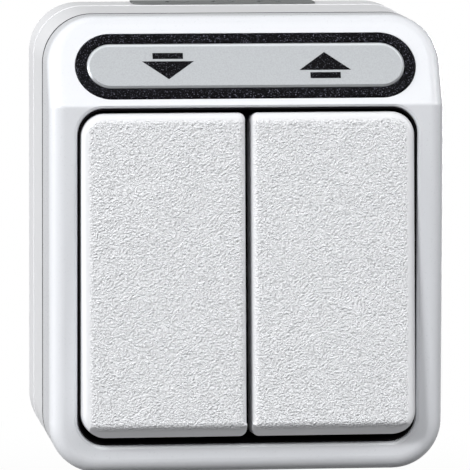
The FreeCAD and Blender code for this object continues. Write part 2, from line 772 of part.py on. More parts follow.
def make_housing():
    """Insulating pot of the switch insert with wire holes, a middle rib and lever stops."""
    centre = (0, pivot_y)
    floor = housing_back + housing_wall
    root = floor - tuck_in
    inner_x = housing_width / 2 - housing_wall
    inner_y = housing_length / 2 - housing_wall
    pot = slab(housing_width, housing_length, housing_radius, housing_back, housing_front, centre)
    pot = pot.cut(slab(2 * inner_x, 2 * inner_y, housing_radius - housing_wall, floor,
                       housing_front + 1, centre))
    rib_x = toggle_x / 2
    half_rib = housing_wall / 3
    ribs = [block(side * rib_x - half_rib, side * rib_x + half_rib, pivot_y - inner_y - half_rib,
                  pivot_y + terminal_row - terminal_length, root, lever_pivot_depth + lever_rise)
            for side, _ in sides]
    stop_top = lever_pivot_depth - lever_thickness / 2 - lever_drop - contact_gap
    stop_y = pivot_y - lever_half_length
    ribs += [block(side * toggle_x - conductor_half, side * toggle_x + conductor_half, stop_y,
                   stop_y + conductor_half, root, stop_top) for side, _ in sides]
    bosses = [rod(lid_boss_radius, root, housing_front, x, y) for x, y in lid_screw_places()]
    outputs = [place_xy for place_xy in terminal_places() if place_xy[0]]
    margin = 2 * terminal_seat_margin
    seats = [slab(terminal_width - margin, terminal_length - margin, half_rib, root, terminal_back,
                  place_xy) for place_xy in outputs]
    pot = join([pot] + ribs + bosses + seats)
    top = pivot_y + housing_length / 2
    middle = (terminal_back + terminal_front) / 2
    cuts = [Part.makeCylinder(wire_bore_radius + wire_hole_margin, 2 * housing_wall,
                              Vector(x, top - 1.5 * housing_wall, middle), Vector(0, 1, 0))
            for x, _ in terminal_places()]
    cuts += [rod(pilot_radius, housing_front - screw_reach - pilot_reserve, housing_front + 1, x, y)
             for x, y in lid_screw_places()]
    strip_half = conductor_half + contact_gap
    cuts.append(block(-inner_x, inner_x, pivot_y - strip_half, pivot_y + strip_half, floor,
                      floor + 2 * conductor_thickness))
    return pot.cut(join(cuts))


def make_plate():
    """Steel support plate with a window for the insert and holes for the screws and the posts."""
    centre = (0, pivot_y)
    plate = slab(plate_width, housing_length + 2 * plate_overhang, plate_corner_radius,
                 housing_front, lid_back, centre)
    cuts = [slab(housing_width - 2 * window_overlap, housing_length - 2 * window_overlap,
                 window_overlap / 2, housing_front - 1, lid_back + 1, centre)]
    cuts += [rod(screw_hole_radius, housing_front - 1, lid_back + 1, x, y)
             for x, y in plate_screw_places()]
    cuts += [rod(cover_post_radius + post_clearance, housing_front - 1, lid_back + 1, x, y)
             for x, y in cover_screw_places()]
    return plate.cut(join(cuts))


def make_lid():
    """Lid with a spigot in the plate window, four bearing cheeks, stem slots and slider rails."""
    centre = (0, pivot_y)
    inset = window_overlap + lid_fit
    lid = slab(housing_width, housing_length, housing_radius, lid_back, lid_front, centre)
    spigot = slab(housing_width - 2 * inset, housing_length - 2 * inset, window_overlap / 2,
                  housing_front, lid_back + tuck_in, centre)
    parts = [lid, spigot]
    for side, _ in sides:
        for edge in (-1, 1):
            x = side * toggle_x + edge * (cheek_reach - cheek_thickness / 2)
            x_low, x_high = x - cheek_thickness / 2, x + cheek_thickness / 2
            foot = cheek_radius + cheek_foot
            points = [(pivot_y - foot, lid_front - tuck_in), (pivot_y + foot, lid_front - tuck_in),
                      (pivot_y + cheek_radius, pivot_depth), (pivot_y - cheek_radius, pivot_depth)]
            parts.append(polygon_across(points, x_low, x_high))
            parts.append(cross_rod(cheek_radius, x_low, x_high, pivot_y, pivot_depth))
    slider_y = pivot_y - slider_offset
    rail_gap = slider_width / 2 + slider_clearance
    for edge in (-1, 1):
        low, high = sorted((slider_y + edge * rail_gap, slider_y + edge * (rail_gap + slider_rail)))
        parts.append(block(-slider_rail_half, slider_rail_half, low, high, lid_front - tuck_in,
                           lid_front + slider_height))
    lid = join(parts)
    bearing = trunnion_radius + trunnion_clearance
    cuts = [cross_rod(bearing, -body_width / 2, body_width / 2, pivot_y, pivot_depth)]
    for side, _ in sides:
        cuts.append(slab(stem_slot_width, stem_slot_length, stem_slot_radius, housing_front - 1,
                         lid_front + 1, (side * toggle_x, pivot_y)))
    for x, y in lid_screw_places():
        cuts.append(rod(screw_hole_radius, housing_front - 1, lid_front + 1, x, y))
    for x, y in terminal_places():
        cuts.append(rod(screw_head_radius, housing_front - 1, lid_front + 1, x, y))
    return lid.cut(join(cuts))


def make_lever(side):
    """See-saw contact strip with a knuckle under its middle and a round contact at its upper end."""
    x = side * toggle_x
    z = lever_pivot_depth
    half = lever_thickness / 2
    strip = block(x - lever_width / 2, x + lever_width / 2, pivot_y - lever_half_length,
                  pivot_y + lever_half_length, z - half, z + half)
    knuckle = cross_rod(lever_knuckle_radius, x - lever_width / 2, x + lever_width / 2, pivot_y, z)
    contact = rod(contact_radius, z - half - contact_height, z, x, pivot_y + lever_contact_y)
    guard_x = (lever_width - lever_guard) / 2
    guard_y = lever_guard_length / 2
    guards = [block(x + edge * guard_x - lever_guard / 2, x + edge * guard_x + lever_guard / 2,
                    pivot_y - guard_y, pivot_y + guard_y, z - half, z + half + lever_guard_height)
              for edge in (-1, 1)]
    body = join([strip, knuckle, contact] + guards)
    run = plunger_tip_rise - lever_tip_gap
    track = lever_width / 2 - lever_guard
    trough = block(x - track, x + track, pivot_y - lever_half_length, pivot_y + lever_half_length,
                   z + min(half, run), z + lever_rise + lever_headroom)
    body = body.cut(trough)
    body.rotate(Vector(x, pivot_y, z), Vector(1, 0, 0), rocker_tilt)
    return body


def terminal_block(x, y):
    """Clamp block with a wire bore along y and a tapped hole for its screw."""
    body = slab(terminal_width, terminal_length, conductor_thickness / 2, terminal_back,
                terminal_front, (x, y))
    middle = (terminal_back + terminal_front) / 2
    bore = Part.makeCylinder(wire_bore_radius, terminal_length,
                             Vector(x, y + terminal_length / 2 + wire_bore_radius, middle),
                             Vector(0, -1, 0))
    tapped = rod(pilot_radius, middle, terminal_front + 1, x, y)
    return body.cut(bore.fuse(tapped))


def make_output_terminal(side):
    """Output conductor: clamp block, strip under the lever end and a round fixed contact."""
    x = side * toggle_x
    block_x, y = x - side * terminal_shift, pivot_y + terminal_row
    contact_y = pivot_y + lever_contact_y
    low_face = lever_pivot_depth - lever_thickness / 2 - contact_height
    contact_top = low_face - lever_drop - contact_gap
    strip_top = contact_top - contact_height
    strip = block(x - conductor_half, x + conductor_half, contact_y - contact_radius,
                  y - terminal_length / 2 + tuck_in, strip_top - conductor_thickness, strip_top)
    contact = rod(contact_radius, strip_top - conductor_thickness / 2, contact_top, x, contact_y)
    return join([terminal_block(block_x, y), strip, contact])


def make_common_terminal():
    """Common conductor: clamp block, cross strip on the floor and a cradle under each lever."""
    y = pivot_y + terminal_row
    floor = housing_back + housing_wall
    strip_top = floor + conductor_thickness
    half = conductor_half
    reach = toggle_x + lever_width / 2
    cross = block(-reach, reach, pivot_y - half, pivot_y + half, floor, strip_top)
    stem = block(-half, half, pivot_y - half, y, floor, strip_top)
    foot = block(-half, half, y - half, y + half, floor, terminal_back + tuck_in)
    cradles = []
    for side, _ in sides:
        x = side * toggle_x
        radius = lever_knuckle_radius + cradle_clearance
        post = block(x - lever_width / 2, x + lever_width / 2, pivot_y - cradle_half,
                     pivot_y + cradle_half, floor,
                     lever_pivot_depth - lever_thickness / 2 - 2 * contact_gap)
        cradles.append(post.cut(cross_rod(radius, x - lever_width, x + lever_width, pivot_y,
                                          lever_pivot_depth)))
    return join([cross, stem, foot, terminal_block(0.0, y)] + cradles)


def make_slider():
    """Interlock slider with bevelled ends that point at the two stems."""
    y = pivot_y - slider_offset
    half = slider_length / 2
    body = block(-half, half, y - slider_width / 2, y + slider_width / 2,
                 lid_front + slider_clearance, lid_front + slider_clearance + slider_height)
    tips = [e for e in body.Edges if e.BoundBox.XLength < 1e-3 and e.BoundBox.YLength < 1e-3]
    return body.makeChamfer(slider_rail / 2, tips)


def make_earth_terminal():
    """Brass block for the protective conductor in its moulded socket."""
    low = floor_thickness
    body = slab(earth_size - 2 * earth_fit, earth_length - 2 * earth_fit, 3 * earth_fit, low,
                low + earth_size, (0, earth_height))
    bore = cross_rod(wire_bore_radius, -earth_size, earth_size, earth_height, low + earth_bore_rise)
    tapped = rod(pilot_radius, low + earth_size / 2, low + earth_size + 1, 0, earth_height)
    return body.cut(bore.fuse(tapped))


def make_screws():
    """The four groups of screws."""
    cover = [screw(x, y, ledge_depth, ledge_depth - base_depth + screw_reach, slot_turn * index)
             for index, (x, y) in enumerate(cover_screw_places())]
    plate = [screw(x, y, lid_back, plate_thickness + screw_reach, slot_turn * index)
             for index, (x, y) in enumerate(plate_screw_places())]
    lid = [screw(x, y, lid_front, lid_front - housing_front + screw_reach, slot_turn * index)
           for index, (x, y) in enumerate(lid_screw_places())]
    reach = terminal_height / 2 - contact_gap
    clamp = [screw(x, y, terminal_front, reach, slot_turn * index)
             for index, (x, y) in enumerate(terminal_places())]
    clamp.append(screw(0, earth_height, floor_thickness + earth_size, earth_size / 2 - contact_gap,
                       slot_turn))
    return {"cover_screws": cover, "plate_screws": plate, "lid_screws": lid, "terminal_screws": clamp}


def main():
    os.makedirs("parts", exist_ok=True)
    save("base_box", make_base())
    save("cover_gasket", make_gasket())
    save("top_cable_insert", make_cable_insert(1))
    save("bottom_cable_insert", make_cable_insert(-1))
    save("front_cover", make_cover())
    save("label_frame", make_label_frame())
    save("label_plate", make_label_plate())
    save("rocker_seal", make_seal())
    save("mechanism_housing", make_housing())
    save("mechanism_lid", make_lid())
    save("support_plate", make_plate())
    save("common_terminal", make_common_terminal())
    save("down_terminal", make_output_terminal(-1))
    save("up_terminal", make_output_terminal(1))
    save("interlock_slider", make_slider())
    save("earth_terminal", make_earth_terminal())
    for side, name in sides:
        save("rocker_" + name, make_rocker(side))
        save("toggle_" + name, make_toggle(side))
        save("plunger_" + name, make_plunger(side))
        save("plunger_spring_" + name, make_spring(side))
        save("contact_lever_" + name, make_lever(side))
    for name, group in make_screws().items():
        save(name, Part.makeCompound(group))


main()
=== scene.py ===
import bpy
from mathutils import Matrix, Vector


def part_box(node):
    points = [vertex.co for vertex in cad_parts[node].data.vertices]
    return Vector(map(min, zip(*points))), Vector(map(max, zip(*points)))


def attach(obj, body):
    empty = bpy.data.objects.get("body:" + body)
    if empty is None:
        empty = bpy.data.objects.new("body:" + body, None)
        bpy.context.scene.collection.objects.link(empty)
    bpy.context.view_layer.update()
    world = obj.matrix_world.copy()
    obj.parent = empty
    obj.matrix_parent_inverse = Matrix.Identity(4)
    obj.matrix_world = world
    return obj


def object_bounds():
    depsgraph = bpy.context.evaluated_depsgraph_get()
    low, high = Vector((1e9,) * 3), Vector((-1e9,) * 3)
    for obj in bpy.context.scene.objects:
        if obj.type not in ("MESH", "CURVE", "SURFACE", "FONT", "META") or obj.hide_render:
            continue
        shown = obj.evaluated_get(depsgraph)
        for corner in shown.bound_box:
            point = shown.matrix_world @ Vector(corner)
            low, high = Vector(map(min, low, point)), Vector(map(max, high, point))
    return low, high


bl_info = {
    "name": "Roller Shutter Switch",
    "version": (1, 0, 0),
    "blender": (4, 5, 0),
    "location": "View3D > Sidebar > Shutter Switch",
    "description": "Finishes the surface-mounted shutter switch: moulded white covers, grained rockers, "
                   "label field with printed arrows, the insert behind them, and a studio",
    "category": "Object",
}

import math

import bmesh
import bpy
import numpy as np
from bpy.props import FloatProperty, FloatVectorProperty, PointerProperty
from mathutils import Quaternion, Vector

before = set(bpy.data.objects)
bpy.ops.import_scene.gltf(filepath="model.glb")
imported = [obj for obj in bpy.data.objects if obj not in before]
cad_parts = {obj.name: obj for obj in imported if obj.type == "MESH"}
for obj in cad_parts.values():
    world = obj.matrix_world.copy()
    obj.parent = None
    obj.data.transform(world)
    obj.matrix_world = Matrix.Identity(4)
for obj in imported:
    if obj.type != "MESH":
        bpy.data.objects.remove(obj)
cad_low, cad_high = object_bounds()

MM = 0.001

# Width of the picture in pixels.
IMAGE_SIZE = 470

# Tones as shares of a base colour: hollows and peaks of a grain, painted glints on the black ring and
# print, the painted edge highlight of the plate, drawn wire, and the darkest spots of spangle. On the
# rockers the hollow and peak tones are painted shade and painted light of the grain's relief; on the
# plate they are its fine tone. The last value is a power, which keeps black pieces dark but for their
# painted glints on the peaks.
ROCKER_FLECK_SHADING = (0.81, 1.11)
PLATE_FLECKS = (0.93, 1.07)
RING_GLINTS = 100.0
INK_GLINTS = 40.0
RIM_HIGHLIGHT_SHARE = 1.5
WIRE_SHARE = 0.85
SPANGLE_SHARE = 0.86
PEAK_SHARPNESS = 10.0

# Lamps: name, property with the power, side and place in metres. All point at the switch.
LAMPS = (
    ("key_light", "key_power", 0.50, (-1.20, -1.36, 1.18)),
    ("side_light", "side_power", 0.50, (-1.10, -0.18, 0.25)),
    ("fill_light", "fill_power", 0.60, (1.20, -0.60, 0.70)),
    ("front_light", "front_power", 1.30, (0.20, -1.65, 1.30)),
    ("back_light", "back_power", 0.40, (0.70, 1.30, 0.02)),
)


# Settings that a user would change.

def length(name, default_mm, description):
    """A length property, given in millimetres and kept in metres."""
    return FloatProperty(name=name, description=description, default=default_mm * MM,
                         min=0.0, precision=5, unit="LENGTH")


def power(name, default_watts, description):
    """The power of a lamp."""
    return FloatProperty(name=name, description=description, default=default_watts, min=0.0,
                         unit="POWER")


def colour(name, default, description):
    """A colour property in linear values."""
    return FloatVectorProperty(name=name, description=description, default=default,
                               size=3, min=0.0, max=1.0, subtype="COLOR")


class SWITCH_PG_moulding(bpy.types.PropertyGroup):
    cover_white: colour("Cover white", (0.68, 0.694, 0.723), "Moulded cover")
    # The tones of the rocker grain are painted shade in its hollows and painted light on its peaks.
    rocker_white: colour("Rocker white", (0.89, 0.90, 0.925), "Rockers, before the tones of their grain")
    box_white: colour("Box white", (0.68, 0.685, 0.70), "Deep box behind the cover")
    fleck_size: length("Grain size", 0.36, "Width of one grain of the spark-eroded faces")
    fleck_height: length("Grain height", 0.56, "Height of that grain in its bump")
    outer_rim: length("Outer rim", 1.4, "Smooth band at the outer side of a rocker")
    top_rim: length("Top rim", 1.3, "Smooth band at the top of a rocker")
    inner_rim: length("Inner rim", 0.6, "Smooth band where the rockers face each other")
    rocker_bevel: length("Rocker bevel", 2.0, "Height of the smooth bevel below the grained face")
    outer_corner: length("Outer corner", 2.6, "Radius of the grained face at its outer corners")
    inner_corner: length("Inner corner", 0.5, "Radius of the grained face at its inner corners")
    grain_fade: length("Grain fade", 1.2, "Width over which the grain runs out into the rim")


class SWITCH_PG_label(bpy.types.PropertyGroup):
    ring_black: colour("Ring black", (0.0018, 0.0018, 0.0023), "Grained ring round the label")
    plate_silver: colour("Plate silver", (0.35, 0.365, 0.38), "Label plate")
    ink: colour("Ink", (0.0028, 0.0028, 0.0034), "Printed arrows")
    speck_size: length("Speck size", 0.25, "Width of one speck of ring, plate and print")
    # The plate rim is a painted edge highlight, a lighter band round the plate.
    plate_highlight_width: length("Plate rim", 0.42, "Width of the lighter rim of the plate")
    highlight_fade: length("Rim fade", 0.25, "Width over which that rim runs into the plate")
    slope: FloatProperty(name="Slope", description="Tilt of the label field from upright",
                         default=math.radians(30.5), subtype="ANGLE")
    down_place: FloatProperty(name="Down arrow", description="Place of the down arrow across the switch",
                              default=-14.75 * MM, unit="LENGTH", precision=5)
    up_place: FloatProperty(name="Up arrow", description="Place of the up arrow across the switch",
                            default=14.9 * MM, unit="LENGTH", precision=5)
    arrow_height: length("Arrow height", 5.45, "Bar, gap and head together")
    head_width: length("Head width", 9.8, "Width of the arrow head")
    head_height: length("Head height", 3.72, "Height of the arrow head")
    bar_width: length("Bar width", 5.75, "Width of the bar above or below the head")
    bar_height: length("Bar height", 1.25, "Height of the bar")
    ink_height: length("Ink height", 0.03, "How far the print stands on the plate")
    arrow_drop: length("Arrow drop", 0.2, "Middle of the arrows below the middle of the plate")


class SWITCH_PG_inside(bpy.types.PropertyGroup):
    entry_grey: colour("Entry grey", (0.118, 0.124, 0.124), "Cable-entry inserts")
    gasket_grey: colour("Gasket grey", (0.035, 0.035, 0.038), "Sealing ring in the seam")
    seal_black: colour("Seal black", (0.006, 0.005, 0.006), "Membrane behind the rockers")
    resin_grey: colour("Resin grey", (0.30, 0.31, 0.33), "Housing and lid of the insert")
    natural: colour("Natural plastic", (0.72, 0.70, 0.62), "Toggles and plungers")
    signal_red: colour("Signal red", (0.48, 0.045, 0.022), "Interlock slider")
    zinc: colour("Zinc", (0.62, 0.63, 0.65), "Support plate, screws and springs")
    brass: colour("Brass", (0.78, 0.56, 0.24), "Conductors and clamp blocks")


class SWITCH_PG_studio(bpy.types.PropertyGroup):
    azimuth: FloatProperty(name="Azimuth", description="Camera to the left (minus) or right of the front",
                           default=math.radians(-6.96), subtype="ANGLE")
    elevation: FloatProperty(name="Elevation", description="Camera above the middle of the switch",
                             default=math.radians(6.69), subtype="ANGLE")
    distance: FloatProperty(name="Distance", description="From the camera to the point that it looks at",
                            default=1.0, unit="LENGTH", precision=4)
    roll: FloatProperty(name="Roll", description="Turn of the camera about its own line of sight",
                        default=math.radians(0.20), subtype="ANGLE")
    aim: FloatVectorProperty(name="Aim", description="Point that the camera looks at", size=3,
                             default=(0.00005, -0.025, -0.00017), subtype="XYZ", precision=5)
    pixels_per_radian: FloatProperty(name="Scale", description="Focal length in pixels of the picture",
                                     default=5212.0)
    key_power: power("Key", 30.0, "Soft box at the upper left")
    side_power: power("Side", 8.5, "Weak soft box at the left")
    fill_power: power("Fill", 8.5, "Weak soft box at the right")
    front_power: power("Front", 14.0, "Wide soft box above the camera")
    back_power: power("Back", 14.0, "Small soft box behind the switch")
    sky_top: FloatProperty(name="Sky above", description="Even light from above", default=0.20)
    sky_bottom: FloatProperty(name="Sky below", description="Even light from below", default=0.0)
    floor_drop: length("Floor drop", 60.0, "Floor below the lower edge of the switch")
    floor_white: colour("Floor white", (0.05, 0.05, 0.052), "Light that the pale floor gives back")


# Node helpers.

def put(tree, kind, inputs=None, **settings):
    """Adds a node, sets it up, and gives each input named or numbered a value or a link."""
    node = tree.nodes.new(kind)
    for key, value in settings.items():
        setattr(node, key, value)
    for key, value in (inputs or {}).items():
        if isinstance(value, bpy.types.NodeSocket):
            tree.links.new(value, node.inputs[key])
        else:
            node.inputs[key].default_value = value
    return node


def calc(tree, operation, a, b=0.0, c=0.0):
    """Output of one Math node on a, b and c."""
    return put(tree, "ShaderNodeMath", {0: a, 1: b, 2: c}, operation=operation).outputs[0]


def ramp(tree, value, start, end, low=0.0, high=1.0):
    """Smooth step of value from low at start to high at end."""
    return put(tree, "ShaderNodeMapRange", {"Value": value, "From Min": start, "From Max": end,
                                            "To Min": low, "To Max": high},
               interpolation_type="SMOOTHSTEP").outputs[0]


def blend_colour(tree, factor, a, b):
    """Colour a where factor is 0 and colour b where it is 1."""
    node = put(tree, "ShaderNodeMix", {0: factor, 6: a, 7: b}, data_type="RGBA")
    return node.outputs[2]


def rgba(value, share=1.0):
    """A share of a colour, with full alpha."""
    return (*(share * part for part in value), 1.0)


def effect(name, inputs, outputs):
    """A new shader node group with named sockets; gives the tree and its input node."""
    tree = bpy.data.node_groups.new(name, "ShaderNodeTree")
    kinds = {"v": "NodeSocketVector", "f": "NodeSocketFloat", "c": "NodeSocketColor"}
    for label, kind, value in inputs:
        socket = tree.interface.new_socket(name=label, in_out="INPUT", socket_type=kinds[kind])
        if value is not None:
            socket.default_value = value
    for label, kind in outputs:
        tree.interface.new_socket(name=label, in_out="OUTPUT", socket_type=kinds[kind])
    return tree, tree.nodes.new("NodeGroupInput").outputs


def give(tree, results):
    """Links the group's results to its outputs."""
    put(tree, "NodeGroupOutput", results)


def panel_mask():
    """Mask of a rounded rectangle in the upright plane, from its signed distance.

    With q as the absolute offset from the centre less half size plus radius, the distance is the
    length of q's positive part plus the lesser of 0 and q's larger part, less the radius. The mask
    is 0.5 at the margin inside the outline, and goes to 1 and to 0 half a softness to either side.
    """
    tree, given = effect("Rounded panel mask", [
        ("Vector", "v", None), ("Centre", "v", (0, 0, 0)), ("Half Size", "v", (0.01, 0, 0.01)),
        ("Radius", "f", 0.002), ("Margin", "f", 0.001), ("Softness", "f", 0.0005)], [("Mask", "f")])
    offset = put(tree, "ShaderNodeVectorMath", {0: given["Vector"], 1: given["Centre"]},
                 operation="SUBTRACT").outputs[0]
    offset = put(tree, "ShaderNodeVectorMath", {0: offset}, operation="ABSOLUTE").outputs[0]
    offset = put(tree, "ShaderNodeVectorMath", {0: offset, 1: given["Half Size"]},
                 operation="SUBTRACT").outputs[0]
    parts = put(tree, "ShaderNodeSeparateXYZ", {0: offset}).outputs
    across = calc(tree, "ADD", parts[0], given["Radius"])
    along = calc(tree, "ADD", parts[2], given["Radius"])
    outside = calc(tree, "SQRT", calc(tree, "ADD",
                                      calc(tree, "POWER", calc(tree, "MAXIMUM", across, 0.0), 2.0),
                                      calc(tree, "POWER", calc(tree, "MAXIMUM", along, 0.0), 2.0)))
    inside = calc(tree, "MINIMUM", calc(tree, "MAXIMUM", across, along), 0.0)
    distance = calc(tree, "SUBTRACT", calc(tree, "ADD", outside, inside), given["Radius"])
    depth = calc(tree, "MULTIPLY", calc(tree, "ADD", distance, given["Margin"]), -1.0)
    half = calc(tree, "MULTIPLY", given["Softness"], 0.5)
    give(tree, {"Mask": ramp(tree, depth, calc(tree, "MULTIPLY", half, -1.0), half)})
    return tree


def spark_grain():
    """Fine irregular grain: cells of the given size, broken up by noise of about that size.

    Height is the noise times its share less the cell distance times its share, times the mask.
    Fleck is the same difference without the mask, from its low to its high value spread over 0 to
    1, for a change of colour.
    """
    noise_scale, noise_share, cell_share = 0.9, 1.1, 0.55
    low, high = -0.05, 0.62
    tree, given = effect("Spark grain", [
        ("Vector", "v", None), ("Size", "f", 0.0004), ("Mask", "f", 1.0)],
        [("Height", "f"), ("Fleck", "f")])
    scale = calc(tree, "DIVIDE", 1.0, given["Size"])
    fine = calc(tree, "MULTIPLY", scale, noise_scale)
    warp = put(tree, "ShaderNodeTexNoise", {"Vector": given["Vector"], "Scale": fine, "Detail": 3.0,
                                            "Roughness": 0.62}).outputs[0]
    cells = put(tree, "ShaderNodeTexVoronoi", {"Vector": given["Vector"], "Scale": scale,
                                               "Smoothness": 0.55}, feature="SMOOTH_F1").outputs[0]
    rough = calc(tree, "ADD", calc(tree, "MULTIPLY", cells, -cell_share),
                 calc(tree, "MULTIPLY", warp, noise_share))
    fleck = ramp(tree, rough, low, high)
    give(tree, {"Height": calc(tree, "MULTIPLY", rough, given["Mask"]), "Fleck": fleck})
    return tree


def mould_flow():
    """Slight unevenness of moulded plastic: large soft clouds and a fine haze, both around 0.5.

    Colour is the given colour times 1 + Amount (clouds - 0.5). Roughness is the given roughness
    plus haze_swing (haze - 0.5). Height is cloud_height times the clouds plus haze_height times the
    haze: a low, wide wave that keeps reflections from being flat.
    """
    haze_swing = 0.16
    cloud_height, haze_height = 6.0, 0.05
    tree, given = effect("Mould flow", [
        ("Vector", "v", None), ("Colour", "c", (0.8, 0.8, 0.8, 1)), ("Amount", "f", 0.02),
        ("Roughness", "f", 0.35)], [("Colour", "c"), ("Roughness", "f"), ("Height", "f")])
    clouds = put(tree, "ShaderNodeTexNoise", {"Vector": given["Vector"], "Scale": 55.0, "Detail": 3.0,
                                              "Roughness": 0.5}).outputs[0]
    haze = put(tree, "ShaderNodeTexNoise", {"Vector": given["Vector"], "Scale": 2400.0, "Detail": 2.0,
                                            "Roughness": 0.6}).outputs[0]
    swing = calc(tree, "MULTIPLY", calc(tree, "SUBTRACT", clouds, 0.5), given["Amount"])
    level = calc(tree, "ADD", 1.0, swing)
    tinted = put(tree, "ShaderNodeVectorMath", {0: given["Colour"], "Scale": level},
                 operation="SCALE").outputs[0]
    spread = calc(tree, "MULTIPLY", calc(tree, "SUBTRACT", haze, 0.5), haze_swing)
    give(tree, {"Colour": tinted, "Roughness": calc(tree, "ADD", given["Roughness"], spread),
                "Height": calc(tree, "ADD", calc(tree, "MULTIPLY", clouds, cloud_height),
                               calc(tree, "MULTIPLY", haze, haze_height))})
    return tree


def brushed_lines():
    """Fine parallel lines of rolled sheet: noise that is stretched a hundredfold along X.

    Roughness is the given roughness plus line_swing (lines - 0.5). Height is the lines. Tone is one
    random value for each spot of spangle.
    """
    line_swing = 0.3
    tree, given = effect("Rolled lines", [("Vector", "v", None), ("Roughness", "f", 0.3)],
                         [("Roughness", "f"), ("Height", "f"), ("Tone", "f")])
    drawn = put(tree, "ShaderNodeVectorMath", {0: given["Vector"], 1: (60.0, 6000.0, 6000.0)},
                operation="MULTIPLY").outputs[0]
    lines = put(tree, "ShaderNodeTexNoise", {"Vector": drawn, "Scale": 1.0, "Detail": 3.0}).outputs[0]
    spots = put(tree, "ShaderNodeTexVoronoi", {"Vector": given["Vector"], "Scale": 420.0}).outputs[1]
    tone = put(tree, "ShaderNodeSeparateColor", {0: spots}).outputs[0]
    give(tree, {"Roughness": calc(tree, "ADD", given["Roughness"],
                                  calc(tree, "MULTIPLY", calc(tree, "SUBTRACT", lines, 0.5),
                                       line_swing)),
                "Height": lines, "Tone": tone})
    return tree


EFFECTS = {"panel": panel_mask, "grain": spark_grain, "flow": mould_flow, "lines": brushed_lines}


def use(tree, name, inputs):
    """Places one of the shared effects, which is built the first time that it is asked for."""
    if name not in use.built:
        use.built[name] = EFFECTS[name]()
    node = tree.nodes.new("ShaderNodeGroup")
    node.node_tree = use.built[name]
    for key, value in inputs.items():
        if isinstance(value, bpy.types.NodeSocket):
            tree.links.new(value, node.inputs[key])
        else:
            node.inputs[key].default_value = value
    return node.outputs


use.built = {}


def start_material(name, **fixed):
    """A new material; gives it, its tree, its shader and the Object coordinates.

    The values in fixed are the same all over and stay on the shader's own sockets.
    """
    material = bpy.data.materials.new(name)
    material.use_nodes = True
    tree = material.node_tree
    shader = tree.nodes["Principled BSDF"]
    for key, value in fixed.items():
        shader.inputs[key.replace("_", " ")].default_value = value
    place = tree.nodes.new("ShaderNodeTexCoord").outputs["Object"]
    return material, tree, shader, place


def finish_shader(tree, shader, colour_out, roughness_out, height_out, height):
    """Links colour, roughness and a bump of the given height to the shader."""
    tree.links.new(colour_out, shader.inputs["Base Color"])
    tree.links.new(roughness_out, shader.inputs["Roughness"])
    bump = put(tree, "ShaderNodeBump", {"Strength": 1.0, "Distance": height, "Height": height_out})
    tree.links.new(bump.outputs[0], shader.inputs["Normal"])


def coat(names, material):
    """Gives the CAD nodes of these names one material."""
    for name in names:
        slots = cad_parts[name].data.materials
        slots.clear()
        slots.append(material)


def moulded(name, base, roughness, amount=0.03, wave=0.000004, **fixed):
    """Plain moulded plastic or rubber with flow clouds and haze."""
    material, tree, shader, place = start_material(name, **fixed)
    flow = use(tree, "flow", {"Vector": place, "Colour": rgba(base), "Amount": amount,
                              "Roughness": roughness})
    finish_shader(tree, shader, flow["Colour"], flow["Roughness"], flow["Height"], wave)
    return material


def speckled(name, base, size, peaks):
    """Grained black with painted glints: from the base colour to as many times that colour as peaks says.

    The share of the light colour, the painted glint, is the fleck raised to PEAK_SHARPNESS, so only the
    peaks have it.
    """
    lowest, swing, height = 0.34, 0.22, 0.00004
    material, tree, shader, place = start_material(name, Specular_IOR_Level=0.03)
    grain = use(tree, "grain", {"Vector": place, "Size": size, "Mask": 1.0})
    # The light colour on the peaks is a painted glint, in place of reflections off the grain.
    tone = blend_colour(tree, calc(tree, "POWER", grain["Fleck"], PEAK_SHARPNESS), rgba(base),
                        rgba(base, peaks))
    rough = calc(tree, "ADD", lowest, calc(tree, "MULTIPLY", grain["Fleck"], swing))
    finish_shader(tree, shader, tone, rough, grain["Height"], height)
    return material


def sheet_metal(name, base, roughness):
    """Rolled metal: fine lines in roughness and height, and zinc or brass spangle in its tone."""
    material, tree, shader, place = start_material(name, Metallic=1.0)
    lines = use(tree, "lines", {"Vector": place, "Roughness": roughness})
    tone = blend_colour(tree, lines["Tone"], rgba(base, SPANGLE_SHARE), rgba(base))
    finish_shader(tree, shader, tone, lines["Roughness"], lines["Height"], height=0.000002)
    return material


# Pieces and finishes, one operator each.

class SWITCH_OT_cover(bpy.types.Operator):
    """Satin white of the cover and of the box behind it"""
    bl_idname = "switch.cover"
    bl_label = "Cover and box"

    def execute(self, context):
        look = context.scene.switch_moulding
        coat(["front_cover"], moulded("cover_white", look.cover_white, roughness=0.30, IOR=1.50,
                                      Coat_Weight=0.12, Coat_Roughness=0.12))
        coat(["base_box"], moulded("box_white", look.box_white, roughness=0.50, IOR=1.45))
        return {"FINISHED"}


